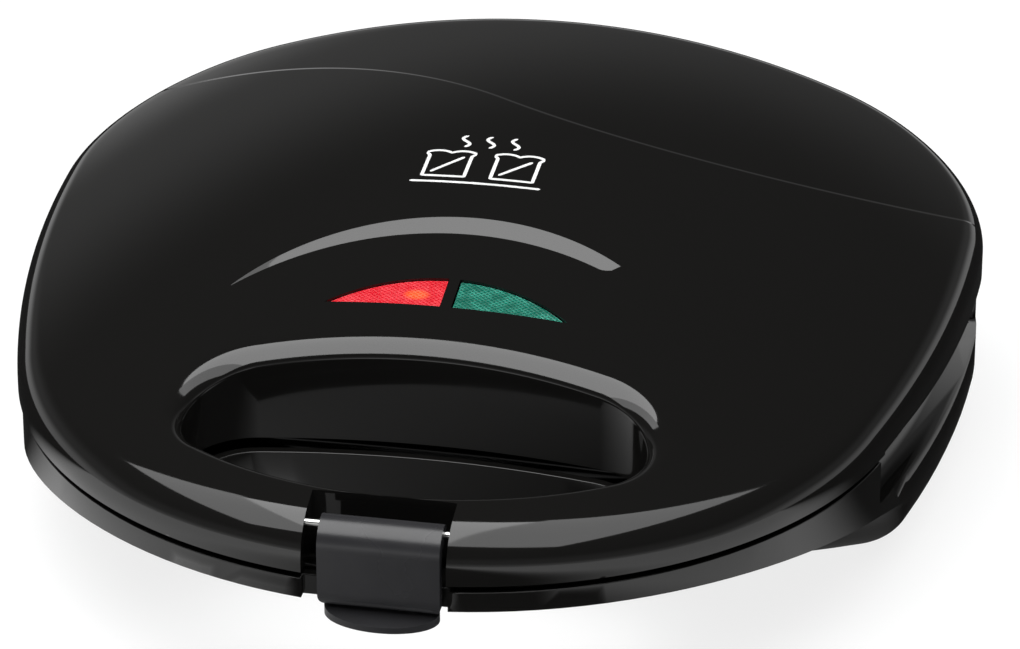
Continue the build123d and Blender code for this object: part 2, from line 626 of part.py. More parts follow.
def make_lower_shield():
    """Bright steel tray that keeps the heat off the housing, open to the rear."""
    plan = Pos(0, behind(SHIELD_START + SHIELD_DEPTH / 2))
    low = SHIELD_TOP - SHIELD_SHEET
    outer = plan * RectangleRounded(SHIELD_WIDTH, SHIELD_DEPTH, SHIELD_CORNER)
    thin = 2 * SHIELD_SHEET
    inner = plan * RectangleRounded(SHIELD_WIDTH - thin, SHIELD_DEPTH - thin, SHIELD_CORNER - SHIELD_SHEET)
    tray = prism(outer, low, low + SHIELD_SKIRT) - prism(inner, SHIELD_TOP, FAR)
    tray -= slab((-FAR, FAR), (behind(SHIELD_START + SHIELD_DEPTH - SHIELD_CORNER), FAR), (SHIELD_TOP, FAR))
    for place in STRAP_PLACES:
        tray -= post(SCREW_RADIUS + FIT, 0, behind(place), 0, FAR)
    return tray


def make_lower_shield_screws():
    seat = SHIELD_TOP - SHIELD_SHEET - SEAT
    return Compound(children=[Pos(0, behind(place), seat) * screw() for place in STRAP_PLACES])


def make_lower_plate_screws():
    """Corner screws, driven down through the plate into the housing's posts."""
    seat = LOWER_FACE - SCREW_HEAD[1]
    return Compound(children=[Pos(x, y, seat) * Rot(180, 0, 0) * screw() for x, y in plate_screw_places()])


def make_thermostat():
    """Round thermostat with two tab terminals, pressed against the plate by the middle strap."""
    y = behind(STRAP_PLACES[1])
    low, high = STRAP_TOP + SEAT, BACK - SEAT
    can = post(THERMOSTAT_RADIUS, CONTROL_X, y, low, high)
    for hand in (-1, 1):
        x = CONTROL_X + hand * (THERMOSTAT_RADIUS + 2)
        can += slab((x - 4, x + 4), (y - 3, y + 3), (high - 3, high - 2.2))
    return can


def make_thermal_fuse():
    """Fuse in a ceramic block with a lead at each end, under the middle strap."""
    y = behind(STRAP_PLACES[1])
    length, width = FUSE_SIZE
    low, high = STRAP_TOP + SEAT, BACK - SEAT
    block = slab((-CONTROL_X - length / 2, -CONTROL_X + length / 2), (y - width / 2, y + width / 2), (low, high))
    return block + rod_x(0.6, -CONTROL_X - length / 2 - 4, length + 8, y, (low + high) / 2)


# ---- lamps ------------------------------------------------------------------------------------------------
def make_lens(hand):
    """Window that follows the lid, held from inside by a flange."""
    under = crown(WALL + SEAT + LENS_SHEET)
    body = (prism(lens_plan(hand), LID_RIM, FAR / 2) & crown(LENS_SINK)) - under
    flange = (prism(lens_plan(hand, LENS_FLANGE), LID_RIM, FAR / 2) & crown(WALL + SEAT)) - under
    return body + flange


def make_lamp(hand):
    """Glow lamp: a glass tube with a wire at each end."""
    y = behind(LAMP_PLACE)
    start = hand * LAMP_X - LAMP_LENGTH / 2
    tube = rod_x(LAMP_RADIUS, start, LAMP_LENGTH, y, LAMP_HEIGHT)
    return tube + rod_x(0.4, start - 2, LAMP_LENGTH + 4, y, LAMP_HEIGHT)


def make_lamp_holder():
    """Bar with a saddle under each end of each lamp."""
    length, width, sheet = HOLDER_SIZE
    y = behind(LAMP_PLACE)
    holder = Pos(0, y, HOLDER_HEIGHT - sheet / 2) * Box(length, width, sheet)
    thick, deep, high = SADDLE
    for hand in (-1, 1):
        for end in (-1, 1):
            x = hand * LAMP_X + end * (LAMP_LENGTH / 2 - thick)
            holder += Pos(x, y, HOLDER_HEIGHT + high / 2) * Box(thick, deep, high)
        holder -= rod_x(LAMP_RADIUS + FIT, hand * LAMP_X - LAMP_LENGTH / 2, LAMP_LENGTH, y, LAMP_HEIGHT)
        holder -= post(SCREW_RADIUS + FIT, hand * HOLDER_SCREW_X, y, 0, FAR)
    return holder


def make_lamp_screws():
    seat = HOLDER_HEIGHT - HOLDER_SIZE[2] - SEAT
    return Compound(children=[Pos(hand * HOLDER_SCREW_X, behind(LAMP_PLACE), seat) * screw() for hand in (-1, 1)])


# ---- latch, hinge pins and connections --------------------------------------------------------------------
def make_latch():
    """Flap that turns on a pin in the lid, curls under the base's lip and ends in a tongue for the finger."""
    top = LATCH_AXIS_HEIGHT + LATCH_BARREL
    face = behind(LATCH_FACE)
    shoulder = LATCH_Y - face
    inside = face + LATCH_SHEET
    hook = LATCH_HOOK_TOP - LATCH_HOOK
    crease = (behind(LATCH_CREASE[0]), LATCH_CREASE[1])
    bend = (LATCH_Y - shoulder * cosd(45), top - shoulder * (1 - sind(45)))
    spots = [
        crease, (behind(LATCH_HOOK_TIP), hook), (behind(LATCH_HOOK_TIP), LATCH_HOOK_TOP), (inside, LATCH_HOOK_TOP),
        (inside, LATCH_AXIS_HEIGHT - LATCH_BARREL), (LATCH_Y, LATCH_AXIS_HEIGHT - LATCH_BARREL),
    ]
    edges = [ThreePointArc((0, LATCH_Y, top), (0, *bend), (0, face, top - shoulder))]
    edges += [Line((0, face, top - shoulder), (0, face, LATCH_CURL))]
    edges += [TangentArc((0, face, LATCH_CURL), (0, *crease), tangent=(0, 0, -1))]
    edges += [Line((0, *a), (0, *b)) for a, b in zip(spots, spots[1:])]
    edges += [ThreePointArc((0, *spots[-1]), (0, LATCH_Y + LATCH_BARREL, LATCH_AXIS_HEIGHT), (0, LATCH_Y, top))]
    plate = side_profile(edges, -LATCH_WIDTH / 2, LATCH_WIDTH)
    height = 2 * (top - hook)
    front_view = Plane.XZ * Pos(0, hook + height / 2) * RectangleRounded(LATCH_WIDTH, height, LATCH_CORNER)
    plate = plate & extrude(front_view, FAR, both=True)
    bore = rod_x(LATCH_PIN_RADIUS + RUN, -LATCH_WIDTH, 2 * LATCH_WIDTH, LATCH_Y, LATCH_AXIS_HEIGHT)
    tip = behind(-LATCH_REACH)
    tongue = polygon_yz([
        crease, (tip, TONGUE_TIP), (tip, TONGUE_TIP - TONGUE_SHEET),
        (behind(LATCH_HOOK_TIP), hook - TONGUE_SHEET / 2), (behind(LATCH_HOOK_TIP), hook + LATCH_HOOK / 2),
    ])
    half = Pos(0, crease[0]) * Ellipse(LATCH_WIDTH / 2 - LATCH_ROUND, crease[0] - tip)
    tongue = side_profile(tongue, -LATCH_WIDTH / 2, LATCH_WIDTH) & prism(half, 0, FAR)
    return Pos(LATCH_SHIFT, 0, 0) * (plate - bore + tongue)


def make_latch_pin():
    half = NOTCH_WIDTH / 2 + WALL - 0.2
    return rod_x(LATCH_PIN_RADIUS, -half, 2 * half, LATCH_Y, LATCH_AXIS_HEIGHT)


def make_hinge_pin(hand):
    """Steel pin with a flat head at its outer end."""
    reach = KNUCKLE_WIDTH / 2 + EAR_GAP + EAR_WIDTH
    pin = rod_x(HINGE_PIN_RADIUS, -reach, 2 * reach + SEAT, 0, 0)
    pin += rod_x(HINGE_HEAD[0], reach + SEAT, HINGE_HEAD[1], 0, 0)
    return Pos(hand * HINGE_X, HINGE_Y, HINGE_HEIGHT) * Rot(0, 0, 0 if hand > 0 else 180) * pin


def make_terminal_block():
    """Three-way block with a clamp screw and a wire hole for each way."""
    length, width, height = TERMINAL_SIZE
    block = Pos(0, 0, height / 2) * Box(length, width, height)
    for i in (-1, 0, 1):
        x = i * length / 3
        block -= post(2.4, x, 0, height - 3, height + 1)
        block -= Pos(x, 0, height * 0.35) * Rot(90, 0, 0) * Cylinder(1.6, 2 * width)
    return Pos(TERMINAL_PLACE[0], ahead(TERMINAL_PLACE[1]), COVER_TOP + SEAT) * block


def make_cord_gland():
    """Rubber grommet in the rear wall, with a groove that grips the wall."""
    radius, sheet = GLAND_RIM
    neck = post(GLAND_NECK, 0, 0, -WALL - SEAT, SEAT)
    rims = post(radius, 0, 0, SEAT, SEAT + sheet) + post(radius, 0, 0, -WALL - SEAT - sheet, -WALL - SEAT)
    return gland_spot() * Rot(-90, 0, 0) * (neck + rims - post(GLAND_BORE, 0, 0, -FAR, FAR))


def make_parts():
    """Every separate piece, by node name."""
    lower = {
        "plate": make_lower_plate(),
        "element": make_lower_element(),
        "straps": make_lower_straps(),
        "shield": make_lower_shield(),
        "shield_screws": make_lower_shield_screws(),
        "plate_screws": make_lower_plate_screws(),
    }
    parts = {"lid_shell": make_lid_shell(), "base_shell": make_base_shell(), "base_cover": make_base_cover()}
    for name, piece in lower.items():
        parts[f"lower_{name}"] = piece
        parts[f"upper_{name}"] = reflected(piece)
    cover_screws = [Pos(x, y, BASE_BOTTOM - SEAT) * screw() for x, y in cover_screw_places()]
    parts["cover_screws"] = Compound(children=cover_screws)
    for name, (x, y) in foot_places().items():
        parts[name] = make_foot(x, y)
    for hand, colour, side in ((-1, "red", "left"), (1, "green", "right")):
        parts[f"{colour}_lens"] = make_lens(hand)
        parts[f"{colour}_lamp"] = make_lamp(hand)
        parts[f"hinge_pin_{side}"] = make_hinge_pin(hand)
    parts["lamp_holder"] = make_lamp_holder()
    parts["lamp_screws"] = make_lamp_screws()
    parts["thermostat"] = make_thermostat()
    parts["thermal_fuse"] = make_thermal_fuse()
    parts["terminal_block"] = make_terminal_block()
    parts["cord_gland"] = make_cord_gland()
    parts["latch"] = make_latch()
    parts["latch_pin"] = make_latch_pin()
    return parts


os.makedirs("parts", exist_ok=True)
for node, shape in make_parts().items():
    export_step(shape, f"parts/{node}.step")
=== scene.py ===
import bmesh
import bpy
import math
import numpy as np
from mathutils import Matrix


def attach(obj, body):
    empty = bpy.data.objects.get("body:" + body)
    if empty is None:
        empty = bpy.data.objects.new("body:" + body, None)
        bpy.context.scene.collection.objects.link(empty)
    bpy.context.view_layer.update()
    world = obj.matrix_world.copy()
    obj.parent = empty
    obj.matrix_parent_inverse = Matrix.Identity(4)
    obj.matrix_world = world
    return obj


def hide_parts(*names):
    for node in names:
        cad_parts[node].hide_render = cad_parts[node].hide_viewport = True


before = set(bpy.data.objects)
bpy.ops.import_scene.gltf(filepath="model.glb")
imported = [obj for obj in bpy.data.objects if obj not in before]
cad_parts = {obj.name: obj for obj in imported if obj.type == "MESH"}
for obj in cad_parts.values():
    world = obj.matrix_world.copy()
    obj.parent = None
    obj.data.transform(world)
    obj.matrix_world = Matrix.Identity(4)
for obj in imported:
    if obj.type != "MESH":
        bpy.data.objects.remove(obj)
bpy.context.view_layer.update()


# ---- Housing plastic --------------------------------------------------------------------------------
# Both housings are injection-moulded in high-gloss black. The mould is polished, so only a very fine
# ripple and a few dull wipes of dust break the reflections.

class Socket:
    """A shader output that can be used in sums and products: each operator adds one Math node."""

    def __init__(self, graph, link):
        self.graph, self.link = graph, link

    def _math(self, operation, first, second=None):
        values = {0: first} if second is None else {0: first, 1: second}
        return self.graph.node("ShaderNodeMath", {"operation": operation}, values)

    def __add__(self, other):
        return self._math("ADD", self, other)

    def __radd__(self, other):
        return self._math("ADD", other, self)

    def __sub__(self, other):
        return self._math("SUBTRACT", self, other)

    def __rsub__(self, other):
        return self._math("SUBTRACT", other, self)

    def __mul__(self, other):
        return self._math("MULTIPLY", self, other)

    def __pow__(self, other):
        return self._math("POWER", self, other)

    def of(self, operation, other=None):
        """Any other Math operation."""
        return self._math(operation, self, other)

    def part(self, axis):
        """X, Y or Z of a vector."""
        return self.graph.node("ShaderNodeSeparateXYZ", {}, {"Vector": self}, axis)


class Graph:
    """The node tree of one material, with a Principled shader at its end."""

    def __init__(self, name, colour, roughness, **constants):
        self.material = bpy.data.materials.new(name)
        self.material.use_nodes = True
        self.tree = self.material.node_tree
        self.shader = self.tree.nodes["Principled BSDF"]
        self.shader.inputs["Base Color"].default_value = (*colour, 1)
        self.shader.inputs["Roughness"].default_value = roughness
        for socket, value in constants.items():
            self.shader.inputs[socket.replace("_", " ")].default_value = value
        self.place = self.node("ShaderNodeTexCoord", {}, {}, "Object")

    def node(self, kind, settings, values, output=0):
        """One node: its settings first, then the values or links of its sockets."""
        made = self.tree.nodes.new(kind)
        for key, value in settings.items():
            setattr(made, key, value)
        for key, value in values.items():
            if isinstance(value, Socket):
                self.tree.links.new(value.link, made.inputs[key])
            else:
                made.inputs[key].default_value = value
        return Socket(self, made.outputs[output])

    def noise(self, scale, detail=2.0, rough=0.5, place=None):
        return self.node("ShaderNodeTexNoise", {}, {
            "Vector": place or self.place, "Scale": scale, "Detail": detail, "Roughness": rough})

    def span(self, value, low, high):
        """A value between 0 and 1 carried on to a new span."""
        return self.node("ShaderNodeMapRange", {}, {"Value": value, "To Min": low, "To Max": high})

    def step(self, value, start, end):
        """0 below start, 1 above end, smooth between."""
        return self.node("ShaderNodeMapRange", {"interpolation_type": "SMOOTHSTEP"},
                         {"Value": value, "From Min": start, "From Max": end})

    def feed(self, socket, value):
        self.tree.links.new(value.link, self.shader.inputs[socket])

    def bump(self, height, strength, distance):
        """A height times a distance in metres, on the surface normal."""
        self.feed("Normal", self.node("ShaderNodeBump", {}, {
            "Height": height, "Strength": strength, "Distance": distance}))


def gloss_black(name):
    """Polished black plastic, duller where it was wiped and where specks of dust lie."""
    g = Graph(name, (0.006, 0.0058, 0.0055), 0.08, IOR=1.5)
    dust = g.noise(900.0, 3.0)
    wipe = g.noise(22.0, 4.0, 0.6)
    g.feed("Roughness", g.span(g.step(wipe, 0.35, 0.75), 0.05, 0.09) + g.step(dust, 0.68, 0.8) * 0.06)
    return g


housing_graph = gloss_black("housing_gloss_black")
housing_graph.bump(housing_graph.noise(60.0, 1.0), 0.2, 0.00001)
housing = housing_graph.material


def dress(node, material):
    """One material on every slot of a CAD node."""
    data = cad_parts[node].data
    if len(data.materials) == 0:
        data.materials.append(material)
    for i in range(len(data.materials)):
        data.materials[i] = material


# ---- Lid --------------------------------------------------------------------------------------------
# The upper housing, one injection moulding: a crowned shell whose walls roll over into the top, with the
# finger opening and the latch slot cut through its handle. Inside it the ribs and posts stay as built.

MM = 0.001
ABOVE = 90.0                 # a height clear above the lid
FRONT = -125.5               # front of the lid, the zero of all distances along it
WIDTH, DEPTH = 236.0, 243.0
RIM, SIDE_RIM = 40.0, 41.5   # lower edge of the lid along the handle, and behind it
RING_END = 82.0              # the handle band ends here
TOP, PEAK = 76.7, 193.6      # height of the crown's peak, and its distance
LONG_R, CROSS_R = 740.0, 315.0   # crown curvature, front to back and side to side
EDGE_R = 12.0                # rounding of the solid below
ROUND_R, SIDE_R = 11.1, 8.5  # rounding of the polished skin along the handle, and elsewhere
GRIP_FRONT, GRIP_REAR, GRIP_END_R = (16.3, 82.0), (66.0, 215.0), 17.0    # place and radius of each arc
LIP_R, LIP_SMALL_R, LIP_TURN = 8.0, 2.5, 54.0    # lip at the rear, elsewhere, and where its arcs meet
NOTCH = (16.8, 14.5)         # half the width of the latch slot, and its rear wall
LENS_R, LENS_CHORD, LENS_RISE, LENS_SPLIT = 43.0, 83.1, 11.1, 1.6
LENS_ROOM = 0.25
CRESCENT = {"top": 121.6, "radius": 64.0, "inner_top": 114.0, "inner_radius": 76.0,
            "slope": 0.36, "stop": math.radians(36.5)}
STEP_DROP, STEP_WIDTH = 0.08, 1.0
STEP_CREST, STEP_CREST_R = (-88.0, 207.3), 156.0     # rearmost point of the wave line, on the left
STEP_TROUGH_X, STEP_TROUGH_R = 58.0, 120.0           # foremost point, on the right


def turned(t):
    """Unit normals (sin t, -cos t) for directions t: 0 at the front, 90 degrees at the right."""
    return np.stack([np.sin(t), -np.cos(t)], -1)


def outline_arcs():
    """Centre, radius and end direction of the right-hand arcs, each continuing the one before.

    The side arc's radius follows from the width and the rear corner's from the depth.
    """
    fr, ft, cr, ct, rt = 116.3, math.radians(13.1), 106.4, math.radians(73.7), math.radians(162.7)
    side = (WIDTH / 2 - fr * math.sin(ft) - cr * (math.sin(ct) - math.sin(ft))) / (1 - math.sin(ct))
    forward = fr * (1 - math.cos(ft)) + cr * (math.cos(ft) - math.cos(ct)) + side * math.cos(ct)
    slope = (1 + math.cos(rt)) / math.sin(rt)
    corner = (DEPTH - forward - WIDTH / 2 * slope) / (-math.cos(rt) - (1 - math.sin(rt)) * slope)
    rear = (WIDTH / 2 - corner * (1 - math.sin(rt))) / math.sin(rt)
    arcs, centre, last = [], np.array([0.0, FRONT + fr]), fr
    for radius, start, end in ((fr, 0, ft), (cr, ft, ct), (side, ct, math.pi / 2),
                               (corner, math.pi / 2, rt), (rear, rt, math.pi)):
        centre = centre + (last - radius) * turned(np.array(start))
        arcs.append((centre, radius, end))
        last = radius
    return arcs


def grip_arcs():
    """The same for the finger opening: front arc, rounded end and rear arc, each touching the next."""
    (front, front_r), (rear, rear_r), r = GRIP_FRONT, GRIP_REAR, GRIP_END_R
    a, b = FRONT + front + front_r, FRONT + rear - rear_r
    y = ((rear_r - r) ** 2 - (front_r - r) ** 2 + a * a - b * b) / (2 * (a - b))
    x = math.sqrt((front_r - r) ** 2 - (y - a) ** 2)
    return [(np.array([0, a]), front_r, math.atan2(x, a - y)),
            (np.array([x, y]), r, math.pi - math.atan2(x, y - b)),
            (np.array([0, b]), rear_r, math.pi)]


def on_arcs(arcs, t, inset=0.0):
    """Points of the closed curve at directions t, moved inward: centre + (radius - inset) * normal."""
    half = np.where(t > math.pi, 2 * math.pi - t, t)
    hand = np.where(t > math.pi, -1.0, 1.0)
    which = np.searchsorted([end for _, _, end in arcs[:-1]], half, side="right")
    centre = np.array([c for c, _, _ in arcs])[which]
    radius = np.array([r for _, r, _ in arcs])[which] - inset
    spot = centre + radius[:, None] * turned(half)
    spot[:, 0] *= hand
    return spot


def crown(x, y, inset=0.0):
    """Height of the crown moved inward by inset, and its unit normal.

    A centre-line arc of radius LONG_R with its top at PEAK is swung about an axis CROSS_R below it.
    """
    axis = TOP - CROSS_R
    run = y - (FRONT + PEAK)
    rise = np.sqrt((LONG_R - inset) ** 2 - run ** 2)
    line = TOP - LONG_R + rise - axis
    up = np.sqrt(line ** 2 - x ** 2)
    normal = np.stack([x / up, line / up * run / rise, np.ones_like(x)], -1)
    return axis + up, normal / np.linalg.norm(normal, axis=-1, keepdims=True)


def edge_rows(wall, out, rim, radius, count):
    """Outer edge of the lid: an upright land above the rim, then one arc that runs into the crown.

    Where the wall is tall enough the arc leaves it upright. Elsewhere the arc passes through the land's
    upper edge, so the handle is round from the seam to the finger opening.
    """
    land = rim + 1.0
    reach = radius.copy()
    for _ in range(25):
        spot = wall - out * reach[:, None]
        height, up = crown(spot[:, 0], spot[:, 1])
        lean = np.arctan2((up[:, :2] * out).sum(1), up[:, 2])
        centre_z = height - radius * np.cos(lean)
        short = np.clip(land - centre_z, 0, radius * 0.98)
        centre_u = np.sqrt(radius ** 2 - short ** 2)
        reach = centre_u - radius * np.sin(lean)
    start, end = np.arcsin(short / radius), math.pi / 2 - lean
    low = centre_z + radius * np.sin(start)
    rows = [np.column_stack([wall, rim + (low - rim) * s]) for s in (0, 0.3, 0.65)]
    for s in np.linspace(0, 1, count):
        angle = start + (end - start) * s
        u = centre_u - radius * np.cos(angle)
        rows.append(np.column_stack([wall - out * u[:, None], centre_z + radius * np.sin(angle)]))
    return rows


def lip_rows(hole, out, large, small, turn, count):
    """The lip of the finger opening: a wide arc that leaves the crown, then a tight one into the wall.

    Both arcs share their tangent where the surface has turned to the given angle from level. Heights
    follow from the wide arc's upper end, which lies on the crown and has its slope.
    """
    corner = math.pi / 2 - turn
    reach = np.full(len(hole), 6.0)
    for _ in range(4):
        spot = hole - out * reach[:, None]
        height, up = crown(spot[:, 0], spot[:, 1])
        end = math.pi / 2 + np.arctan2((up[:, :2] * -out).sum(1), up[:, 2])
        reach = small + (large - small) * math.cos(corner) - large * np.cos(end)
    foot = height + (large - small) * math.sin(corner) - large * np.sin(end)
    rows = []
    for s in np.linspace(0, 1, count):
        angle = end + (corner - end) * s
        u = small + (large - small) * math.cos(corner) - large * np.cos(angle)
        z = foot - (large - small) * math.sin(corner) + large * np.sin(angle)
        rows.append(np.column_stack([hole - out * u[:, None], z]))
    for s in np.linspace(0, 1, count)[1:]:
        angle = corner * (1 - s)
        u = small - small * math.cos(angle)
        rows.append(np.column_stack([hole - out * u, foot + small * math.sin(angle)]))
    return rows


def directions(count, *curves):
    """Directions spread so that the steps are even along the given curves taken together."""
    t = np.linspace(0, 2 * math.pi, 20001)
    way = np.zeros(len(t))
    for arcs in curves:
        spot = on_arcs(arcs, np.clip(t, 0, 2 * math.pi - 1e-9))
        way[1:] += np.cumsum(np.linalg.norm(np.diff(spot, axis=0), axis=1))
    return np.interp(np.arange(count) / count * way[-1], way, t)


def grid_mesh(name, rows, closed_rows=False):
    """Mesh from rows of points, each row a closed ring; closed_rows joins the last row to the first."""
    points = np.concatenate(rows) * MM
    height, width = len(rows), len(rows[0])
    i = np.arange(height if closed_rows else height - 1)[:, None]
    j = np.arange(width)[None, :]
    a, b = i * width + j, i * width + (j + 1) % width
    c, d = (i + 1) % height * width + (j + 1) % width, (i + 1) % height * width + j
    faces = np.stack([a, b, c, d], -1).reshape(-1, 4)
    data = bpy.data.meshes.new(name)
    data.from_pydata(points.tolist(), [], faces.tolist())
    return data


def place(name, data, material, body, cad_slot=None):
    """Object for a mesh, with its material and the body it rides on."""
    piece = bpy.data.objects.new(name, data)
    bpy.context.scene.collection.objects.link(piece)
    data.materials.clear()
    data.materials.append(material)
    if body:
        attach(piece, body)
    return piece


def lid_block():
    """The lid as a solid ring round the finger opening.

    Its rows run up the outer wall, over the rolled edge and the crown, and down the rolled lip and the
    inner wall. The edge is rounder along the handle, and the lip is wider on the rear of the opening.
    """
    outer, inner = outline_arcs(), grip_arcs()
    t = directions(720, outer, inner)
    wall, hole, out = on_arcs(outer, t), on_arcs(inner, t), turned(t)
    ahead = np.clip((np.cos(t) - 0.25) / 0.55, 0, 1)
    edge = edge_rows(wall, out, RIM, SIDE_R + (ROUND_R - SIDE_R) * ahead ** 2 * (3 - 2 * ahead), 20)
    rear = 0.5 - 0.5 * np.cos(t)
    large = LIP_SMALL_R + (LIP_R - LIP_SMALL_R) * rear
    lip = lip_rows(hole, -out, large, LIP_SMALL_R, math.radians(LIP_TURN), 9)
    rows = list(edge)
    for s in np.linspace(0, 1, 58)[1:-1]:
        plan = edge[-1][:, :2] * (1 - s) + lip[0][:, :2] * s
        rows.append(np.column_stack([plan, crown(plan[:, 0], plan[:, 1])[0]]))
    rows += lip
    rows += [np.column_stack([hole, RIM + (lip[-1][:, 2] - RIM) * s]) for s in (0.6, 0.25, 0)]
    return grid_mesh("lid_block", rows, closed_rows=True)


def cut_away(data, cutters):
    """The mesh less each cutter mesh."""
    block = bpy.data.objects.new("block", data)
    bpy.context.scene.collection.objects.link(block)
    tools = []
    for cutter in cutters:
        tool = bpy.data.objects.new("tool", cutter)
        bpy.context.scene.collection.objects.link(tool)
        cut = block.modifiers.new("cut", "BOOLEAN")
        cut.operation, cut.solver, cut.object = "DIFFERENCE", "EXACT", tool
        tools.append(tool)
    bpy.context.view_layer.update()
    done = bpy.data.meshes.new_from_object(block.evaluated_get(bpy.context.evaluated_depsgraph_get()))
    for spare in [block] + tools:
        bpy.data.objects.remove(spare)
    return done


def prism(name, plan, low, high):
    """Closed prism over a convex plan polygon given anticlockwise."""
    n = len(plan)
    points = np.concatenate([np.column_stack([plan, np.full(n, z)]) for z in (low, high)]) * MM
    sides = [(i, (i + 1) % n, n + (i + 1) % n, n + i) for i in range(n)]
    data = bpy.data.meshes.new(name)
    data.from_pydata(points.tolist(), [], [tuple(range(n))[::-1], tuple(range(n, 2 * n))] + sides)
    return data


def window_plan(hand, grow=0.0):
    """Plan of a lamp window: the part of a disc behind a straight edge and beside the middle bar."""
    radius, chord, middle = LENS_R + grow, FRONT + LENS_CHORD - grow, LENS_SPLIT - grow
    centre = FRONT + LENS_CHORD + LENS_RISE - LENS_R
    last = math.acos((chord - centre) / radius)
    first = math.asin(middle / radius)
    turn = np.linspace(first, last, 40)
    arc = np.column_stack([radius * np.sin(turn), centre + radius * np.cos(turn)])
    plan = np.vstack([arc, [[middle, chord]]])
    plan[:, 0] *= hand
    return plan if hand < 0 else plan[::-1]


def box_plan(x0, x1, y0, y1):
    return np.array([[x0, y0], [x1, y0], [x1, y1], [x0, y1]], float)


def kept_inside(node):
    """The inner faces of a housing as built: all whose corners don't all lie on the outer skin."""
    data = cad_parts[node].data.copy()
    count = len(data.vertices)
    spot = np.empty(count * 3)
    data.vertices.foreach_get("co", spot)
    x, y, z = (spot.reshape(-1, 3) / MM).T
    data.calc_loop_triangles()
    tris = np.empty(len(data.loop_triangles) * 3, dtype=np.int32)
    data.loop_triangles.foreach_get("vertices", tris)
    tris = tris.reshape(-1, 3)
    ring = np.clip(directions(6000, outline_arcs()), 0, 2 * math.pi - 1e-9)
    inset, beside = (nearest(on_arcs(arcs, ring), x, y) for arcs in (outline_arcs(), grip_arcs()))
    below_skin = 1.2
    on_top = z > crown(x, y, below_skin)[0]
    ball = crown(x, y, EDGE_R)[0]
    from_ball = np.hypot(EDGE_R - inset, np.maximum(z - ball, 0))
    on_edge = (inset < EDGE_R) & (from_ball > EDGE_R - below_skin) & (z > ball)
    on_notch = (z > RIM - 0.1) & (np.abs(x) < NOTCH[0] + 0.1) & (y < FRONT + NOTCH[1] + 0.1)
    on_wall = inset < np.where(z > RIM + 0.5, 1.0, 0.08)
    skin = on_wall | (beside < 0.08) | on_top | on_edge | on_notch
    corner = spot.reshape(-1, 3)[tris] / MM
    normal = np.cross(corner[:, 1] - corner[:, 0], corner[:, 2] - corner[:, 0])
    down = normal[:, 2] < -0.95 * np.linalg.norm(normal, axis=1)
    keep = ~skin[tris].all(1) | down
    kept = bpy.data.meshes.new(node + "_inside")
    kept.from_pydata(spot.reshape(-1, 3).tolist(), [], tris[keep].tolist())
    return kept


def nearest(curve, x, y):
    """Distance of each plan point from a closed curve given by many points."""
    best = np.full(len(x), 1e9)
    for part in np.array_split(curve, 60):
        gap = np.hypot(x[:, None] - part[None, :, 0], y[:, None] - part[None, :, 1])
        best = np.minimum(best, gap.min(1))
    return best


def joined(name, meshes):
    """One mesh out of several, with loose points left out."""
    made = bmesh.new()
    for data in meshes:
        made.from_mesh(data)
    bmesh.ops.remove_doubles(made, verts=made.verts, dist=1e-6)
    bmesh.ops.delete(made, geom=[v for v in made.verts if not v.link_faces], context="VERTS")
    for face in made.faces:
        face.smooth = True
    data = bpy.data.meshes.new(name)
    made.to_mesh(data)
    made.free()
    data.set_sharp_from_angle(angle=math.radians(14))
    return data


def without_bottom(data, height):
    """The mesh less its flat faces at a height."""
    made = bmesh.new()
    made.from_mesh(data)
    made.normal_update()
    flat = [f for f in made.faces
            if abs(f.normal.z) > 0.9 and abs(f.calc_center_median().z - height * MM) < 1e-6]
    bmesh.ops.delete(made, geom=flat, context="FACES")
    made.to_mesh(data)
    made.free()
    return data


def groove(top, radius, inner_top, inner_radius, slope, stop):
    """Cutter for the crescent groove above the lamps, between two arcs that meet at its left tip.

    On the right it ends early, round and blunt, at the turn called stop. Its floor leaves the crown at
    the outer, rear arc and falls evenly towards the front, by slope per millimetre, as far as the inner
    arc. Rows run across it on spokes from the outer arc's centre.
    """
    apart = (top - radius) - (inner_top - inner_radius)
    tip = math.acos((inner_radius ** 2 - radius ** 2 - apart ** 2) / (2 * apart * radius))
    turn = np.linspace(-tip, stop, 141)[1:-1]
    inward = np.sqrt(inner_radius ** 2 - (apart * np.sin(turn)) ** 2) - apart * np.cos(turn)
    blunt = 1 - np.clip((stop - turn) / 0.05, 0, 1)
    inward = radius + (inward - radius) * np.sqrt(1 - blunt ** 2)
    rows, centre = [], FRONT + top - radius
    for s in np.linspace(0, 1, 9):
        reach = radius + (inward - radius) * s
        x, y = reach * np.sin(turn), centre + reach * np.cos(turn)
        fall = centre + np.sqrt(radius ** 2 - x ** 2) - y
        over = 0.01 if s == 0 else 0
        rows.append(np.column_stack([x, y, crown(x, y)[0] - slope * fall + over]))
    lids = [np.column_stack([row[:, :2], np.full(len(row), ABOVE)]) for row in (rows[-1], rows[0])]
    points = np.concatenate(rows + lids) * MM
    width, height = len(turn), len(rows) + 2
    faces = []
    for i in range(height):
        for j in range(width - 1):
            k = (i + 1) % height
            faces.append((i * width + j, i * width + j + 1, k * width + j + 1, k * width + j))
    for j in (0, width - 1):
        ends = [i * width + j for i in range(height)]
        faces.append(ends if j == 0 else ends[::-1])
    data = bpy.data.meshes.new("groove")
    data.from_pydata(points.tolist(), [], faces)
    return data


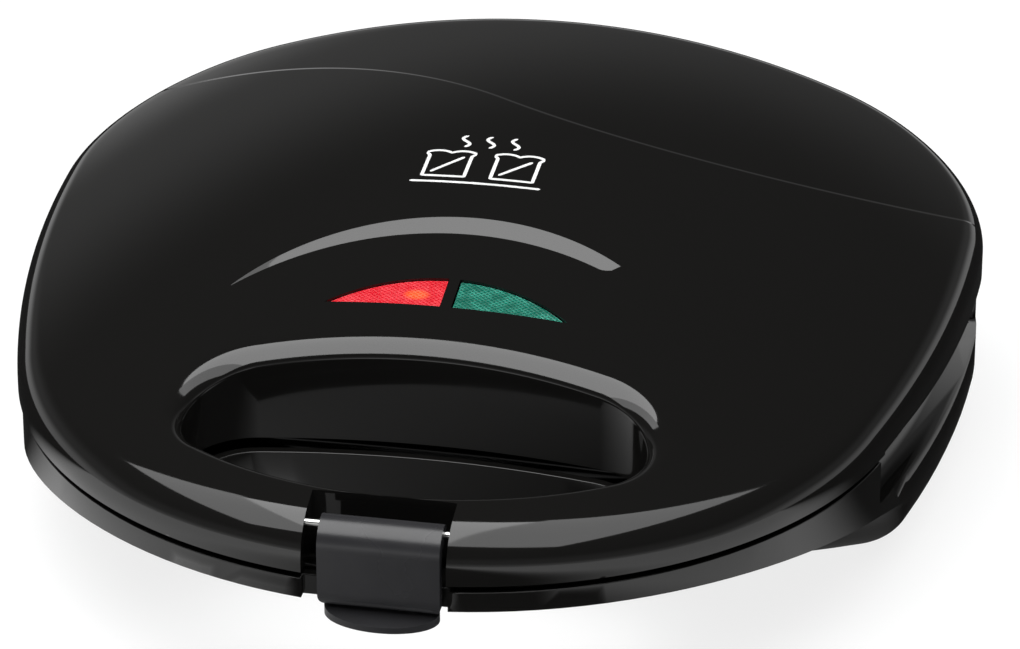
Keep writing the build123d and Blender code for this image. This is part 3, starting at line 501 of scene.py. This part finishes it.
slots = [prism("slot", window_plan(hand, LENS_ROOM), 60, ABOVE) for hand in (-1, 1)]
relief = prism("relief", box_plan(-WIDTH, WIDTH, FRONT + RING_END, FRONT + 300), 0, SIDE_RIM)
notch = prism("notch", box_plan(-NOTCH[0], NOTCH[0], FRONT - 50, FRONT + NOTCH[1]), 0, 100)
shell = cut_away(lid_block(), slots + [relief, notch, groove(**CRESCENT)])
shell = without_bottom(without_bottom(shell, RIM), SIDE_RIM)
lid_mesh = joined("lid_moulding", [shell, kept_inside("lid_shell")])
lid = place("lid_moulding", lid_mesh, housing, "lid", "housing")
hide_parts("lid_shell")

# The rear field lies lower behind a wave-shaped step: two arcs that touch, the left one bowed to the
# rear. The step is a narrow rounded drop in the surface, and the fields on both sides stay smooth.

def wave_step(g, drop, width):
    """Height in metres of the field behind the wave line, 0 ahead of it."""
    crest_x, crest = STEP_CREST
    first = FRONT + crest - STEP_CREST_R
    reach = STEP_CREST_R + STEP_TROUGH_R
    second = first + math.sqrt(reach ** 2 - (STEP_TROUGH_X - crest_x) ** 2)
    touch = crest_x + (STEP_TROUGH_X - crest_x) * STEP_CREST_R / reach
    x, y = (g.place.part(axis) * (1 / MM) for axis in "XY")
    left = (STEP_CREST_R ** 2 - (x - crest_x) ** 2.0).of("SQRT") + first
    right = second - (STEP_TROUGH_R ** 2 - (x - STEP_TROUGH_X) ** 2.0).of("SQRT")
    side = x.of("GREATER_THAN", touch)
    line = left + side * (right - left)
    return g.step(y - line, -width / 2, width / 2) * (-drop * MM)


lid_graph = gloss_black("lid_gloss_black")
ripple = lid_graph.noise(60.0, 1.0) * 0.000002
lid_graph.bump(wave_step(lid_graph, STEP_DROP, STEP_WIDTH) + ripple, 1.0, 1.0)
lid.data.materials[0] = lid_graph.material



# ---- Base -------------------------------------------------------------------------------------------
# The lower housing, in the same plastic as the lid and with its shape as built. Only the sharp rim below
# the seam gets the small rounding that a mould leaves.

BASE_TOP, RIM_ROUND = 38.0, 0.7


def rounded_rims(node, height, radius):
    """Copy of a node's mesh whose outer edges at a height are rounded."""
    made = bmesh.new()
    made.from_mesh(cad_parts[node].data)
    bmesh.ops.remove_doubles(made, verts=made.verts, dist=1e-6)
    bmesh.ops.dissolve_limit(made, angle_limit=math.radians(0.5), verts=made.verts, edges=made.edges)
    rim = [e for e in made.edges if len(e.link_faces) == 2
           and all(abs(v.co.z - height * MM) < 1e-5 for v in e.verts) and e.calc_face_angle(0) > 1.2]
    bmesh.ops.bevel(made, geom=rim, offset=radius * MM, segments=4, profile=0.5, affect="EDGES",
                    clamp_overlap=True)
    for face in made.faces:
        face.smooth = True
    data = bpy.data.meshes.new(node + "_rounded")
    made.to_mesh(data)
    made.free()
    data.set_sharp_from_angle(angle=math.radians(28))
    return data


base_mesh = rounded_rims("base_shell", BASE_TOP, RIM_ROUND)
base = place("base_moulding", base_mesh, housing, "base", "housing")
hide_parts("base_shell")

# ---- Windows ----------------------------------------------------------------------------------------
# Two clear mouldings with a diamond knurl, the left one red and lit from behind, the right one green.
# Each lies a little below the crown, in a slot cut through the lid.

KNURL = 1.15                 # from one ridge of the knurl to the next
GLOW = (-8.0, 87.8)          # middle of the bright spot in the red window


def knurled(name, colour, **constants):
    """Clear plastic over a diamond knurl: pyramids in two crossed rows, with a painted highlight that
    makes their ridges paler.
    """
    g = Graph(name, colour, 0.12, IOR=1.49, Specular_IOR_Level=0.2, **constants)
    x, y = (g.place.part(axis) * (1 / MM) for axis in "XY")
    rows = [((x * (0.8 / KNURL) + y * (hand / KNURL)) + 200.0).of("PINGPONG", 0.5) * 2.0
            for hand in (-1, 1)]
    ridge = rows[0].of("MINIMUM", rows[1])
    # Painted highlight: a paler base colour along the knurl ridges, in patches, where they would catch
    # the light.
    painted_ridge_glint = g.step(ridge, 0.5, 0.05) * g.step(g.noise(350.0, 2.0), 0.3, 0.7)
    g.bump(ridge * 0.0002, 1.0, 1.0)
    return g, painted_ridge_glint, ridge, x, y


def mixed(g, amount, low, high):
    """Colour between two, by an amount from 0 to 1."""
    return g.node("ShaderNodeMix", {"data_type": "RGBA"}, {0: amount, 6: (*low, 1), 7: (*high, 1)}, 2)


red, painted_ridge_glint, ridge, x, y = knurled("red_window_plastic", (0.55, 0.010, 0.022), Emission_Strength=0.8)
# The paler colour along the ridges is a painted highlight.
red.feed("Base Color", mixed(red, painted_ridge_glint, (0.52, 0.008, 0.018), (0.70, 0.06, 0.075)))
glow_x, glow_y = x - GLOW[0], (y - (FRONT + GLOW[1])) * 1.5
glow = red.step(glow_x * glow_x + glow_y * glow_y, 14.0, 0.5) * (1.0 - ridge * 0.75)
red.feed("Emission Color", mixed(red, glow, (0.16, 0.002, 0.004), (0.9, 0.20, 0.0)))
dress("red_lens", red.material)

green, painted_ridge_glint = knurled("green_window_plastic", (0.0, 0.075, 0.043))[:2]
# The paler colour along the ridges is a painted highlight.
green.feed("Base Color", mixed(green, painted_ridge_glint, (0.0, 0.10, 0.065), (0.04, 0.32, 0.23)))
dress("green_lens", green.material)

# ---- Latch ------------------------------------------------------------------------------------------
# Moulded in dark grey plastic, on a steel pin through the handle. Its surface is satin, with the fine
# grain of an etched mould.

def satin(name, colour, rough, grain=2600.0, depth=0.00003):
    """A dull surface with a fine grain, a little uneven in tone and polish."""
    g = Graph(name, colour, rough, IOR=1.46)
    g.feed("Roughness", g.span(g.noise(40.0, 4.0), rough - 0.05, rough + 0.07))
    dark, light = ((np.array(colour) * share).tolist() for share in (0.85, 1.15))
    g.feed("Base Color", mixed(g, g.noise(180.0, 4.0), dark, light))
    g.bump(g.noise(grain, 2.0), 0.25, depth)
    return g.material


dress("latch", satin("latch_satin", (0.022, 0.022, 0.024), 0.26))

# ---- Metal ------------------------------------------------------------------------------------------
# Plated pins and screws, pressed sheet with a rolled grain, and the dull sheath of the heaters, a little
# straw-coloured and blue where it gets hottest.

def metal(name, dark, light, low, high, patch=70.0, stretch=(1, 1, 1)):
    """Metal with a colour and a roughness between two values each, the latter along its grain."""
    g = Graph(name, light, high, Metallic=1.0)
    lay = g.node("ShaderNodeMapping", {}, {"Vector": g.place, "Scale": stretch})
    grain = g.noise(500.0, 4.0, 0.6, lay)
    g.feed("Roughness", g.span(grain, low, high))
    g.feed("Base Color", mixed(g, g.noise(patch, 3.0), dark, light))
    g.bump(grain, 0.2, 0.00001)
    return g.material


steel = metal("bright_steel", (0.5456, 0.5456, 0.5368), (0.62, 0.62, 0.61), 0.16, 0.3)
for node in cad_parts:
    if node.endswith("screws") or "_pin" in node:
        dress(node, steel)
sheet = metal("zinc_sheet", (0.484, 0.484, 0.4664), (0.55, 0.55, 0.53), 0.28, 0.5, stretch=(0.08, 1, 1))
for node in ("lower_straps", "upper_straps", "lower_shield", "upper_shield", "thermostat"):
    dress(node, sheet)
heater = metal("heater_sheath", (0.30, 0.24, 0.15), (0.17, 0.18, 0.22), 0.4, 0.6, 45.0)
for node in ("lower_element", "upper_element"):
    dress(node, heater)

# ---- Plates -----------------------------------------------------------------------------------------
# Die-cast with a dark non-stick coat, which is nearly smooth: it has a fine orange peel and scattered
# lighter specks.

coat = Graph("nonstick_coat", (0.022, 0.022, 0.023), 0.38)
specks = coat.step(coat.noise(2200.0, 1.0), 0.68, 0.74)
coat.feed("Base Color", mixed(coat, specks, (0.022, 0.022, 0.023), (0.09, 0.09, 0.09)))
coat.feed("Roughness", coat.span(coat.noise(30.0, 4.0), 0.32, 0.46))
coat.bump(coat.noise(1400.0, 2.0), 0.35, 0.00004)
for node in ("lower_plate", "upper_plate"):
    dress(node, coat.material)

# ---- Small parts ------------------------------------------------------------------------------------
# Matt cover sheet, rubber feet and gland, and the heat-proof pieces that carry the lamps and the wiring.

dress("base_cover", satin("cover_black", (0.018, 0.018, 0.019), 0.45, 1500.0, 0.00006))
rubber = satin("black_rubber", (0.016, 0.016, 0.016), 0.72, 1800.0, 0.00008)
for node in ("foot_front_left", "foot_front_right", "foot_rear_left", "foot_rear_right", "cord_gland"):
    dress(node, rubber)
heatproof = satin("heatproof_white", (0.62, 0.60, 0.54), 0.5)
for node in ("lamp_holder", "terminal_block"):
    dress(node, heatproof)
dress("thermal_fuse", satin("glazed_ceramic", (0.72, 0.70, 0.64), 0.25))
for node, colour in (("red_lamp", (0.8, 0.30, 0.16)), ("green_lamp", (0.45, 0.7, 0.5))):
    dress(node, satin(node + "_glass", colour, 0.1))

# ---- Printed sign -----------------------------------------------------------------------------------
# Thin white print on the crown: two slices of bread side by side with a diagonal cut, a tray below them
# and steam above. Each line is a flat ribbon that follows the crown.

SIGN_PLACE, SIGN_SCALE = (-4.0, 147.0), (0.78, 0.8)
SIGN_LINE, SIGN_LIFT = 0.9, 0.03     # width of a line, and how far the print stands off the crown


def ribbon(points, thick):
    """Flat ribbon along plan points given in millimetres, with a half-round taper at both ends."""
    path = np.array(points, float)
    run = np.concatenate([[0], np.cumsum(np.hypot(*np.diff(path, axis=0).T))])
    even = np.linspace(0, run[-1], max(8, int(run[-1] / 0.5)))
    path = np.column_stack([np.interp(even, run, path[:, i]) for i in (0, 1)])
    way = np.gradient(path, axis=0)
    way /= np.linalg.norm(way, axis=1, keepdims=True)
    across = np.column_stack([-way[:, 1], way[:, 0]])
    ends = np.minimum(even, run[-1] - even) / (thick / 2)
    half = thick / 2 * np.sqrt(1 - (1 - np.clip(ends, 0.05, 1)) ** 2)
    rows = []
    for hand in (-1, 1):
        side = path + across * (hand * half)[:, None]
        rows.append(np.column_stack([side, crown(side[:, 0], side[:, 1], -SIGN_LIFT)[0]]))
    return rows


def sign_lines():
    """Slices with two bumps on top and a diagonal each, a tray line and three curls of steam."""
    u = np.linspace(0, 1, 60)
    lines = []
    for x0 in (-19.0, 3.0):
        top = 6.5 + 1.6 * np.abs(np.sin(2 * math.pi * u)) ** 0.6
        loop = [(x0 + 16 * a, b) for a, b in zip(u, top)]
        lines.append([(x0 + dx, dy) for dx, dy in
                      ((0, 6.5), (1.2, 4.8), (1.2, -8.0), (14.8, -8.0), (14.8, 4.8), (16, 6.5))])
        lines.append(loop)
        lines.append([(x0 + 3.4, -5.6), (x0 + 12.6, 4.4)])
    lines.append([(-21, -11.5), (21, -11.5)])
    for x0 in (-8.0, 0.0, 8.0):
        lines.append([(x0 + 1.4 * math.sin(2 * math.pi * a), 11 + 7.5 * a) for a in u])
    return lines


white_print = satin("white_print", (0.78, 0.78, 0.78), 0.5)
points, faces = [], []
for line in sign_lines():
    low, high = ribbon([(SIGN_PLACE[0] + x * SIGN_SCALE[0], FRONT + SIGN_PLACE[1] + y * SIGN_SCALE[1])
                        for x, y in line], SIGN_LINE)
    start, count = len(points), len(low)
    points += (np.concatenate([low, high]) * MM).tolist()
    faces += [(i, i + 1, count + i + 1, count + i) for i in range(start, start + count - 1)]
sign_mesh = bpy.data.meshes.new("printed_sign")
sign_mesh.from_pydata(points, [], faces)
place("printed_sign", sign_mesh, white_print, "lid")

# ---- Floor, light and camera ------------------------------------------------------------------------
# White sweep round the object. Above it the room is dark, so the gloss black stays black. A soft box
# hangs overhead with a dimmer wing on each side, and pale cards lie to the left and right of the front.

floor_mesh = bpy.data.meshes.new("floor")
floor_mesh.from_pydata([(-6, -6, 0), (6, -6, 0), (6, 6, 0), (-6, 6, 0)], [], [(0, 1, 2, 3)])
floor = bpy.data.objects.new("floor", floor_mesh)
bpy.context.scene.collection.objects.link(floor)


class Wires:
    """A node tree without a Principled shader, for the floor and the world."""

    def __init__(self, tree, end):
        self.tree = tree
        tree.nodes.clear()
        self.end = tree.nodes.new(end)

    node = Graph.node
    step = Graph.step
    span = Graph.span

    def path(self, ray):
        made = self.tree.nodes.new("ShaderNodeLightPath")
        return Socket(self, made.outputs[ray])

    def finish(self, shader):
        self.tree.links.new(shader.link, self.end.inputs["Surface"])


floor_paint = bpy.data.materials.new("floor_white")
floor_paint.use_nodes = True
f = Wires(floor_paint.node_tree, "ShaderNodeOutputMaterial")
paint = f.node("ShaderNodeBsdfDiffuse", {}, {"Color": (0.93, 0.93, 0.93, 1)})
plain = f.node("ShaderNodeEmission", {}, {"Strength": 1.05})
seen = f.node("ShaderNodeMixShader", {}, {0: 0.78, 1: paint, 2: plain})
spot = f.node("ShaderNodeTexCoord", {}, {}, "Object")
fx, fy = spot.part("X"), spot.part("Y")
cards = f.step(fx, 0.02, -0.14) * 1.35 + f.step(fx, 0.06, 0.14) * 1.2
mirrored = f.node("ShaderNodeEmission", {}, {"Strength": 0.02 + cards * f.step(fy, -0.01, -0.07)})
f.finish(f.node("ShaderNodeMixShader", {}, {0: f.path("Is Glossy Ray"), 1: seen, 2: mirrored}))
floor_mesh.materials.append(floor_paint)

world = bpy.data.worlds.new("studio")
world.use_nodes = True
bpy.context.scene.world = world
w = Wires(world.node_tree, "ShaderNodeOutputWorld")
way = w.node("ShaderNodeTexCoord", {}, {}, "Generated")
up = way.part("Z") + w.step(way.part("Y"), 0.2, -0.3) * 0.12
room = 0.05 + w.step(up, 0.50, 0.30) * 0.18 + w.step(up, 0.26, 0.08) * 0.75
mirrored = w.node("ShaderNodeBackground", {}, {"Strength": room})
plain = w.node("ShaderNodeBackground", {}, {"Strength": 1.0})
dim = w.node("ShaderNodeBackground", {}, {"Strength": 0.12})
lit = w.node("ShaderNodeMixShader", {}, {0: w.path("Is Glossy Ray"), 1: dim, 2: mirrored})
w.finish(w.node("ShaderNodeMixShader", {}, {0: w.path("Is Camera Ray"), 1: lit, 2: plain}))


CEILING = 1.45


def soft_box(name, spot, size, power):
    """Rectangular lamp at a spot, facing straight down, of the given width and depth in metres."""
    data = bpy.data.lights.new(name, "AREA")
    data.shape = "RECTANGLE"
    data.size, data.size_y = size
    data.energy = power
    lamp = bpy.data.objects.new(name, data)
    bpy.context.scene.collection.objects.link(lamp)
    lamp.location = spot


for name, x, y, size, power in (("top_box", -0.30, -0.47, (0.84, 1.84), 24.0),
                                ("left_wing", -1.12, -0.42, (0.80, 1.94), 12.5),
                                ("right_wing", 0.57, -0.42, (0.90, 1.94), 14.0)):
    soft_box(name, (x, y, CEILING), size, power)

AZIMUTH, ELEVATION, DISTANCE = 11.05, 27.16, 1.3
TARGET = np.array([0.00804, -0.00398, 0.045])
a, e = math.radians(AZIMUTH), math.radians(ELEVATION)
away = np.array([math.sin(a) * math.cos(e), -math.cos(a) * math.cos(e), math.sin(e)])
right = np.array([math.cos(a), math.sin(a), 0.0])
above = np.cross(away, right)
eye = TARGET + DISTANCE * away
camera_data = bpy.data.cameras.new("camera")
camera_data.sensor_width = 36.0
camera_data.lens = 5307 / 1020 * 36
camera = bpy.data.objects.new("camera", camera_data)
bpy.context.scene.collection.objects.link(camera)
camera.matrix_world = Matrix([[right[i], above[i], away[i], eye[i]] for i in range(3)] + [[0, 0, 0, 1]])
bpy.context.scene.camera = camera
bpy.context.scene.view_settings.view_transform = "Standard"
